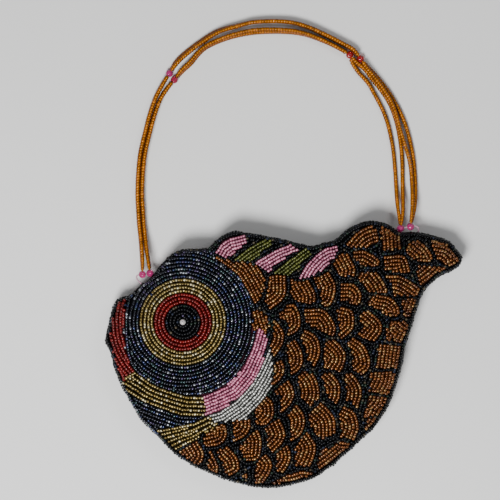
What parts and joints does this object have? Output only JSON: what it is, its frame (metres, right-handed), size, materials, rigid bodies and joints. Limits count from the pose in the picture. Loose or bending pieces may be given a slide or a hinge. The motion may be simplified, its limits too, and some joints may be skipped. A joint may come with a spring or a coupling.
{
  "type": "beaded handbag",
  "caption": "Fish-shaped zipped pouch bag, its front covered with sewn glass seed beads, on a strap of beaded strands.",
  "frame": {"origin": "middle of the bag's box at the table it lies on, the strap left out", "axes": "+X from the fish's nose to its tail, +Y from its belly to its back where the strap is, +Z out of the beaded front"},
  "size_m": [0.2006, 0.2647, 0.0216],
  "materials": {
    "ground": "plain black cloth under the beads",
    "satin": "black satin",
    "lining": "dark satin",
    "scale_field": "black and amber seed beads, opaque as a layer",
    "fin_ground": "black seed beads",
    "lips": "red seed beads",
    "cheek": "dark blue lustre seed beads",
    "navy": "dark blue lustre seed beads",
    "gold_ring": "olive gold seed beads",
    "gill_band_upper": "olive gold seed beads",
    "gill_band_lower": "olive gold seed beads",
    "red_ring": "red seed beads",
    "pupil": "black seed beads",
    "pink_band": "pink seed beads",
    "silver_band": "clear seed beads lined with silver",
    "crescent_upper": "amber seed beads",
    "crescent_lower": "amber seed beads",
    "stripe_pink_front": "pink seed beads",
    "stripe_pink_middle": "pink seed beads",
    "stripe_pink_back": "pink seed beads",
    "stripe_green_front": "olive green seed beads",
    "stripe_green_back": "olive green seed beads",
    "pearl": "pearl lustre",
    "teeth": "black moulded teeth",
    "tape": "black woven tape",
    "metal": "pale brass, satin",
    "amber": "amber glass beads on thread",
    "pink_bead": "round pink glass",
    "thread": "black beading thread"
  },
  "bodies": {
    "bag": {"pupil": "pupil", "red_ring": "red_ring", "gold_ring": "gold_ring", "navy": "navy", "lips": "lips", "gill_band_upper": "gill_band_upper", "cheek": "cheek", "gill_band_lower": "gill_band_lower", "pink_band": "pink_band", "silver_band": "silver_band", "fin_ground": "fin_ground", "stripe_pink_front": "stripe_pink_front", "stripe_green_front": "stripe_green_front", "stripe_pink_middle": "stripe_pink_middle", "stripe_green_back": "stripe_green_back", "stripe_pink_back": "stripe_pink_back", "crescent_upper": "crescent_upper", "crescent_lower": "crescent_lower", "scale_field": "scale_field", "front_panel": "ground", "back_panel": "satin", "lining_front": "lining", "lining_back": "lining", "eye_pearl": "pearl", "zip_teeth_front": "teeth", "zip_teeth_back": "teeth", "zip_tape_front": "tape", "zip_tape_back": "tape", "zip_bottom_stop": "metal", "zip_top_stop_front": "metal", "zip_top_stop_back": "metal", "thread_loop_left": "thread", "thread_loop_right": "thread"},
    "strap": {"strand_left_1": "amber", "strand_left_2": "amber", "strand_left_3": "amber", "strand_left_4": "amber", "strand_top_1": "amber", "strand_top_2": "amber", "strand_top_3": "amber", "strand_top_4": "amber", "strand_right_1": "amber", "strand_right_2": "amber", "strand_right_3": "amber", "strand_right_4": "amber", "bead_left_outer": "pink_bead", "bead_left_inner": "pink_bead", "bead_right_inner": "pink_bead", "bead_right_outer": "pink_bead", "bead_upper_left_outer": "pink_bead", "bead_upper_left_inner": "pink_bead", "bead_upper_right_inner": "pink_bead", "bead_upper_right_outer": "pink_bead"},
    "slider": {"zip_slider": "metal"},
    "pull": {"zip_pull": "metal"}
  },
  "joints": [
    {"name": "strap_swing", "type": "hinge", "parent": "bag", "child": "strap", "pos_m": [-0.07555, 0.04585, 0.0095], "axis": [0.9845, 0.1756, 0], "range_deg": [0, 104]},
    {"name": "zip_slide", "type": "slide", "parent": "bag", "child": "slider", "axis": [0.9842, 0.1769, 0], "range_m": [0, 0.1026]},
    {"name": "pull_flip", "type": "hinge", "parent": "slider", "child": "pull", "pos_m": [-0.05424, 0.04685, 0.0095], "axis": [0, 0, 1], "range_deg": [-60, 35]}
  ]
}
